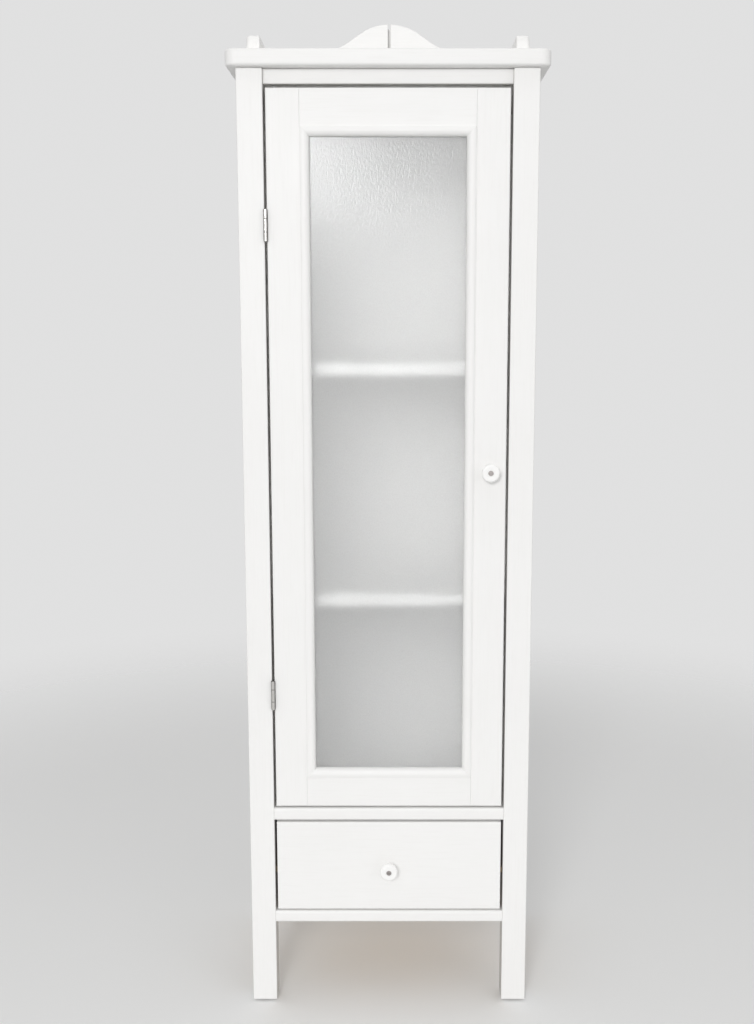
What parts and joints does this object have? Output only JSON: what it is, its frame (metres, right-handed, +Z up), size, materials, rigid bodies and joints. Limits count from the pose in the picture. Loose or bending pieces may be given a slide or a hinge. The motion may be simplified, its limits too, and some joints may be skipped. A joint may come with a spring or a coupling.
{
  "type": "bathroom storage cabinet",
  "caption": "Tall narrow bathroom cabinet on square posts, with an obscure-glass door over a drawer, inside shelves and a low gallery with a split crest.",
  "frame": {"origin": "on the floor, under the middle of the whole cabinet's width and depth", "axes": "+Z up, the front with its door and drawer faces -Y, +X to the right as seen from the front"},
  "size_m": [0.512, 0.364, 1.721],
  "materials": {
    "white_paint": "satin white paint on wood",
    "beech": "bare beech",
    "pine": "clear lacquered pine",
    "nickel": "nickel plated steel",
    "zinc": "bright zinc plated steel",
    "black_plastic": "matt black",
    "obscure_glass": "obscure textured glass",
    "white_plastic": "white moulded plastic"
  },
  "bodies": {
    "root": {"post_front_left": "white_paint", "post_front_right": "white_paint", "post_rear_left": "white_paint", "post_rear_right": "white_paint", "foot_glides": "black_plastic", "side_panel_left": "white_paint", "side_panel_right": "white_paint", "back_panel": "white_paint", "back_panel_screws": "zinc", "top_rail": "white_paint", "middle_rail": "white_paint", "bottom_rail": "white_paint", "rear_rail_top": "white_paint", "rear_rail_middle": "white_paint", "rear_rail_bottom": "white_paint", "cabinet_floor": "white_paint", "top_board": "white_paint", "top_board_screws": "zinc", "gallery_left": "white_paint", "gallery_right": "white_paint", "crest_left": "white_paint", "crest_right": "white_paint", "carcass_dowels": "beech", "shelf_upper": "white_paint", "shelf_lower": "white_paint", "shelf_pins": "zinc", "drawer_runner_left": "pine", "drawer_runner_right": "pine", "magnetic_catch": "white_plastic", "fitting_screws": "zinc", "hinge_upper_post_leaf": "nickel", "hinge_lower_post_leaf": "nickel", "hinge_pins": "nickel", "hinge_post_screws": "nickel"},
    "door": {"door_stile_left": "white_paint", "door_stile_right": "white_paint", "door_rail_top": "white_paint", "door_rail_bottom": "white_paint", "door_dowels": "beech", "bead_top": "white_paint", "bead_bottom": "white_paint", "bead_left": "white_paint", "bead_right": "white_paint", "glass_pane": "obscure_glass", "glass_retainers": "white_paint", "hinge_upper_door_leaf": "nickel", "hinge_lower_door_leaf": "nickel", "door_fitting_screws": "nickel", "strike_plate": "zinc", "door_knob": "white_paint", "door_knob_screw": "zinc"},
    "drawer": {"drawer_front": "white_paint", "drawer_side_left": "pine", "drawer_side_right": "pine", "drawer_back": "pine", "drawer_bottom": "pine", "drawer_dowels": "beech", "drawer_knob": "white_paint", "drawer_knob_screw": "zinc"}
  },
  "joints": [
    {"name": "door_hinge", "type": "hinge", "parent": "root", "child": "door", "pos_m": [-0.196, -0.1613, 0.9525], "axis": [0, 0, -1], "range_deg": [0, 180]},
    {"name": "drawer_slide", "type": "slide", "parent": "root", "child": "drawer", "axis": [0, -1, 0], "range_m": [0, 0.22]}
  ]
}
